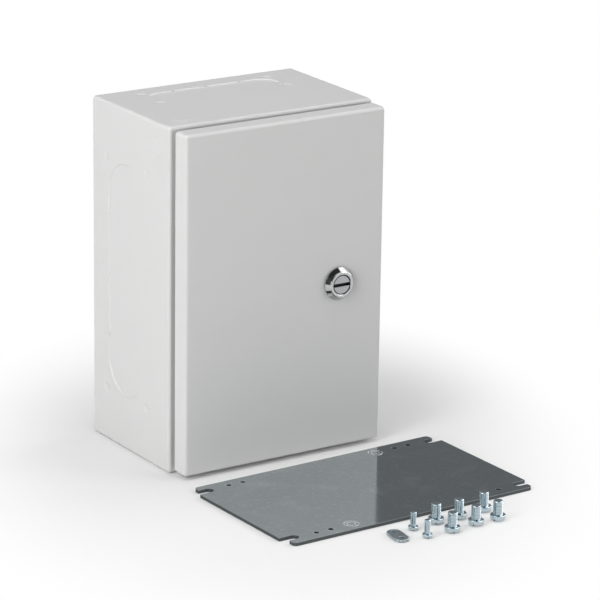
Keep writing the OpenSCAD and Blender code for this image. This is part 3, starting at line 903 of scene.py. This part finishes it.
class ENCLOSURE_OT_screws(Operator):
    """Make the loose slotted pan-head screws, with real threads, and the nut plate"""

    bl_idname = "enclosure.screws"
    bl_label = "Screws and Nut Plate"

    def execute(self, context):
        fixings = context.scene.enclosure_fixings
        plated = finish_of("zinc_finish", zinc, context.scene.enclosure_metal)
        kinds = (("plate_screw", 0.625), ("small_screw", 0.66))
        for name, head in kinds:
            node = name + "s"
            diameter = getattr(fixings, name + "_d")
            pitch = getattr(fixings, name + "_pitch")
            for count, (low, high) in enumerate(solids(node)):
                bm = self.screw(low, high, diameter, pitch, head * diameter, fixings.steps)
                turn = Matrix.Rotation(math.radians(66 - 9 * count), 4, "Z")
                at = Matrix.Translation(((low.x + high.x) / 2, (low.y + high.y) / 2, low.z))
                bmesh.ops.transform(bm, matrix=at @ turn, verts=bm.verts)
                nodes = [node] if count == 0 else []
                piece(f"{name}_{count + 1}", bm, plated, "loose_fixings", nodes,
                      TURNED_SHARP)
        oval = soften(cad_copy("nut_plate"), 1.0 * MM, 3)
        dull = finish_of("barrel_finish", barrel_zinc, context.scene.enclosure_metal)
        piece("oval_nut_plate", oval, dull, "loose_fixings", ["nut_plate"])
        return {"FINISHED"}

    @staticmethod
    def screw(low, high, diameter, pitch, head_h, steps):
        """A screw on its head at the origin, thread upwards."""
        radius = (high.x - low.x) / 2
        tall = high.z - low.z
        edge = 0.3 * MM
        shape = [
            (0, 0), (0.62 * radius, 0), (0.84 * radius, 0.10 * head_h),
            (0.96 * radius, 0.32 * head_h), (radius, 0.62 * head_h), (radius, head_h - edge),
            (radius - edge, head_h), (0, head_h)]
        bm = soften(lathe(shape, 64), 0.2 * MM, 2, math.radians(20))
        slot = 0.11 * diameter
        cutter = block((-2 * radius, -slot, -MM), (2 * radius, slot, 0.45 * head_h))
        bm = cut_away(bm, cutter)
        sunk = 0.2 * MM
        rod = thread(diameter, pitch, tall - head_h + sunk, 0.35 * pitch, steps)
        bmesh.ops.translate(rod, vec=(0, 0, head_h - sunk), verts=rod.verts)
        bm = join(bm, rod)
        # Marks the faces inside the slot, which the zinc finish paints dark as painted shade.
        shaded = bm.faces.layers.float.new("shaded")
        for face in bm.faces:
            centre = face.calc_center_median()
            face[shaded] = float(centre.z < 0.449 * head_h and abs(centre.y) < 1.001 * slot)
        return bm


class ENCLOSURE_OT_stage(Operator):
    """Set up the floor, the lamps, the cards and the camera"""

    bl_idname = "enclosure.stage"
    bl_label = "Studio"

    def execute(self, context):
        stage = context.scene.enclosure_stage
        self.floor(stage)
        self.lamps(stage)
        self.cards()
        self.world(stage)
        self.camera(stage)
        context.scene.view_settings.view_transform = "Standard"
        return {"FINISHED"}

    @staticmethod
    def card(name, size, at, look, material):
        """A flat card on the stage that faces a point."""
        bm = bmesh.new()
        bmesh.ops.create_grid(bm, x_segments=1, y_segments=1, size=0.5)
        bmesh.ops.scale(bm, vec=(size[0], size[1], 1), verts=bm.verts)
        mesh = bpy.data.meshes.new(name)
        bm.to_mesh(mesh)
        bm.free()
        mesh.materials.append(material)
        made = bpy.data.objects.new(name, mesh)
        made.location = at
        made.rotation_mode = "QUATERNION"
        made.rotation_quaternion = (Vector(look) - Vector(at)).to_track_quat("Z", "Y")
        bpy.context.scene.collection.objects.link(made)
        return made

    def floor(self, stage):
        """A pale floor that keeps the shadow near the object and turns white further out."""
        finish = Finish("floor")
        where = finish.place(turn=(0, 0, OVAL_TURN), move=OVAL_SHIFT)
        oval = finish.node("VectorMath", {"operation": "MULTIPLY"}, {0: where, 1: OVAL_STRETCH})
        away = finish.node("VectorMath", {"operation": "LENGTH"}, {0: oval}, 1)
        far = away.between(stage.fade_start, stage.fade_end)
        tone = stage.floor_tone
        matt = finish.node("BsdfDiffuse", {}, {"Color": (tone, tone, tone, 1)})
        white = finish.node("Emission", {}, {"Color": (1, 1, 1, 1), "Strength": 1.0})
        shader = finish.node("MixShader", {}, {0: far * finish.in_view(), 1: matt, 2: white})
        size = (FLOOR_SIZE, FLOOR_SIZE)
        self.card("floor", size, (0, 0, -FLOOR_DROP), (0, 0, 1), finish.end(shader))

    @staticmethod
    def lamp(name, power, size, at):
        data = bpy.data.lights.new(name, "AREA")
        data.shape = "RECTANGLE"
        data.size, data.size_y = size
        data.energy = power
        made = bpy.data.objects.new(name, data)
        made.location = at
        made.rotation_mode = "QUATERNION"
        made.rotation_quaternion = (Vector(at) - Vector(LIT_POINT)).to_track_quat("Z", "Y")
        bpy.context.scene.collection.objects.link(made)

    def lamps(self, stage):
        """Six soft boxes round the object."""
        for name, setting, size, at in SOFT_BOXES:
            self.lamp(name, getattr(stage, setting), size, at)

    def cards(self):
        """The cards that only reflections see."""
        for name, size, at, look, tone in CARDS:
            finish = Finish(name)
            shader = finish.node("Emission", {}, {"Color": (*tone, 1), "Strength": 1.0})
            made = self.card(name, size, at, look, finish.end(shader))
            for ray in ("camera", "diffuse", "transmission", "volume_scatter", "shadow"):
                setattr(made, "visible_" + ray, False)

    @staticmethod
    def world(stage):
        """Even light all round, white where the camera or a reflection sees it."""
        world = bpy.data.worlds.new("studio")
        bpy.context.scene.world = world
        finish = Finish("studio", world)
        grey = finish.node("Background", {}, {"Color": (1, 1, 1, 1), "Strength": stage.sky})
        white = finish.node("Background", {}, {"Color": (1, 1, 1, 1), "Strength": 1.0})
        shader = finish.node("MixShader", {}, {0: finish.in_view(), 1: grey, 2: white})
        finish.node("OutputWorld", {}, {"Surface": shader})

    @staticmethod
    def camera(stage):
        """The camera at the viewing angle, with its small roll."""
        azimuth, elevation = stage.azimuth, stage.elevation
        level = math.cos(elevation)
        back = Vector((math.sin(azimuth) * level, -math.cos(azimuth) * level, math.sin(elevation)))
        side = (-back).cross(Vector((0, 0, 1))).normalized()
        above = side.cross(-back)
        right = math.cos(stage.roll) * side + math.sin(stage.roll) * above
        upward = math.cos(stage.roll) * above - math.sin(stage.roll) * side
        data = bpy.data.cameras.new("camera")
        data.sensor_width = 36
        data.lens = stage.lens
        data.clip_start, data.clip_end = 0.1, 100
        made = bpy.data.objects.new("camera", data)
        turn = Matrix((right, upward, back)).transposed().to_4x4()
        made.matrix_world = Matrix.Translation(stage.place) @ turn
        bpy.context.scene.collection.objects.link(made)
        bpy.context.scene.camera = made


class ENCLOSURE_PT_sidebar(Panel):
    """Lists the steps and their settings"""

    bl_idname = "ENCLOSURE_PT_sidebar"
    bl_label = "Steel Wall Enclosure"
    bl_space_type = "VIEW_3D"
    bl_region_type = "UI"
    bl_category = "Enclosure"

    def draw(self, context):
        layout = self.layout
        for group in SETTINGS:
            settings = getattr(context.scene, group)
            box = layout.box()
            box.label(text=group.replace("_", " ").title())
            for name in settings.__annotations__:
                box.prop(settings, name)
        for operator in OPERATORS:
            layout.operator(operator.bl_idname)


SETTINGS = {
    "enclosure_paint": EnclosurePaint,
    "enclosure_metal": EnclosureMetal,
    "enclosure_lock": EnclosureLock,
    "enclosure_fixings": EnclosureFixings,
    "enclosure_stage": EnclosureStage,
}
OPERATORS = (
    ENCLOSURE_OT_stage,
    ENCLOSURE_OT_panels,
    ENCLOSURE_OT_lock,
    ENCLOSURE_OT_hinges,
    ENCLOSURE_OT_gasket,
    ENCLOSURE_OT_earth,
    ENCLOSURE_OT_plate,
    ENCLOSURE_OT_screws,
)
CLASSES = (*SETTINGS.values(), *OPERATORS, ENCLOSURE_PT_sidebar)


def register():
    for cls in CLASSES:
        bpy.utils.register_class(cls)
    for name, settings in SETTINGS.items():
        setattr(bpy.types.Scene, name, PointerProperty(type=settings))


def unregister():
    for name in SETTINGS:
        delattr(bpy.types.Scene, name)
    for cls in reversed(CLASSES):
        bpy.utils.unregister_class(cls)


def main():
    """Runs every step in order."""
    register()
    for operator in OPERATORS:
        group, step = operator.bl_idname.split(".")
        getattr(getattr(bpy.ops, group), step)()


if __name__ == "__main__":
    main()
